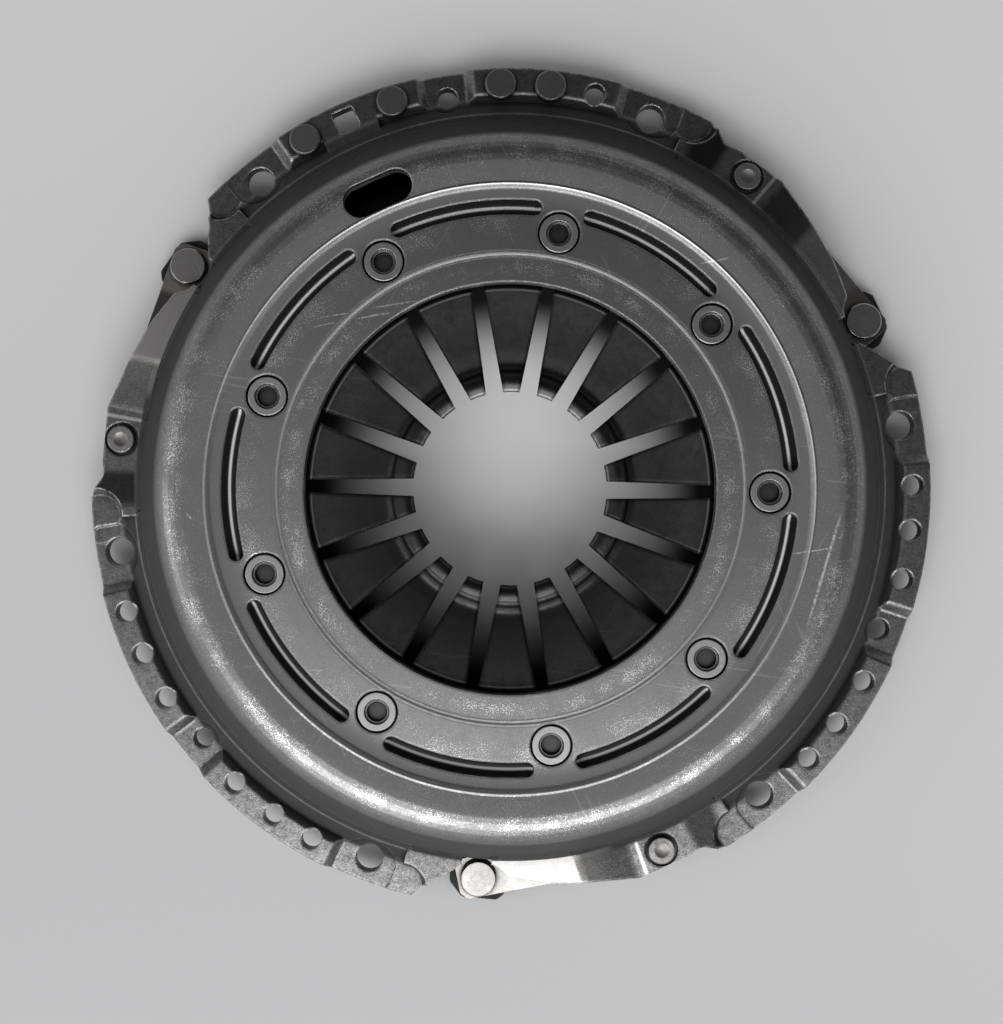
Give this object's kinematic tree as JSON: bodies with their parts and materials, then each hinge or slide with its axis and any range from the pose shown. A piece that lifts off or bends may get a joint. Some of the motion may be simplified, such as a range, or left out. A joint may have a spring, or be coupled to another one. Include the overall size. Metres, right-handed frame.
{
  "type": "clutch pressure plate",
  "caption": "Diaphragm-spring clutch cover assembly: pressed steel cover, slotted diaphragm spring, cast pressure plate hung on drive straps, and a drilled mounting flange.",
  "frame": {"origin": "clutch axis on the mounting plane, the underside of the flange's bolt pads", "axes": "+Z along the clutch axis from the flywheel towards the gearbox; +X through the first mounting hole"},
  "size_m": [0.2688, 0.2658, 0.0413],
  "materials": {
    "cover_steel": "satin",
    "spring_steel": "satin",
    "cast_iron": "matte",
    "strap_steel": "satin",
    "rivet_steel": "satin"
  },
  "bodies": {
    "cover_group": {"cover": "cover_steel", "diaphragm_spring": "spring_steel", "fulcrum_ring": "spring_steel", "spacer_rivet_1": "rivet_steel", "spacer_rivet_2": "rivet_steel", "spacer_rivet_3": "rivet_steel", "spacer_rivet_4": "rivet_steel", "spacer_rivet_5": "rivet_steel", "spacer_rivet_6": "rivet_steel", "spacer_rivet_7": "rivet_steel", "spacer_rivet_8": "rivet_steel", "spacer_rivet_9": "rivet_steel", "strap_1_leaf_1": "strap_steel", "strap_1_leaf_2": "strap_steel", "strap_1_leaf_3": "strap_steel", "strap_2_leaf_1": "strap_steel", "strap_2_leaf_2": "strap_steel", "strap_2_leaf_3": "strap_steel", "strap_3_leaf_1": "strap_steel", "strap_3_leaf_2": "strap_steel", "strap_3_leaf_3": "strap_steel", "strap_cover_rivet_1": "rivet_steel", "strap_cover_rivet_2": "rivet_steel", "strap_cover_rivet_3": "rivet_steel", "balance_rivet_1": "rivet_steel", "balance_rivet_2": "rivet_steel", "balance_rivet_3": "rivet_steel", "balance_rivet_4": "rivet_steel"},
    "plate_group": {"pressure_plate": "cast_iron", "strap_lug_rivet_1": "rivet_steel", "strap_lug_rivet_2": "rivet_steel", "strap_lug_rivet_3": "rivet_steel"}
  },
  "joints": [
    {"name": "plate_lift", "type": "slide", "parent": "cover_group", "child": "plate_group", "axis": [0, 0, 1], "range_m": [0, 0.005], "stiffness_N_per_m": 50000, "springref_m": -0.002, "deforming": ["diaphragm_spring", "strap_1_leaf_1", "strap_1_leaf_2", "strap_1_leaf_3", "strap_2_leaf_1", "strap_2_leaf_2", "strap_2_leaf_3", "strap_3_leaf_1", "strap_3_leaf_2", "strap_3_leaf_3"]}
  ]
}
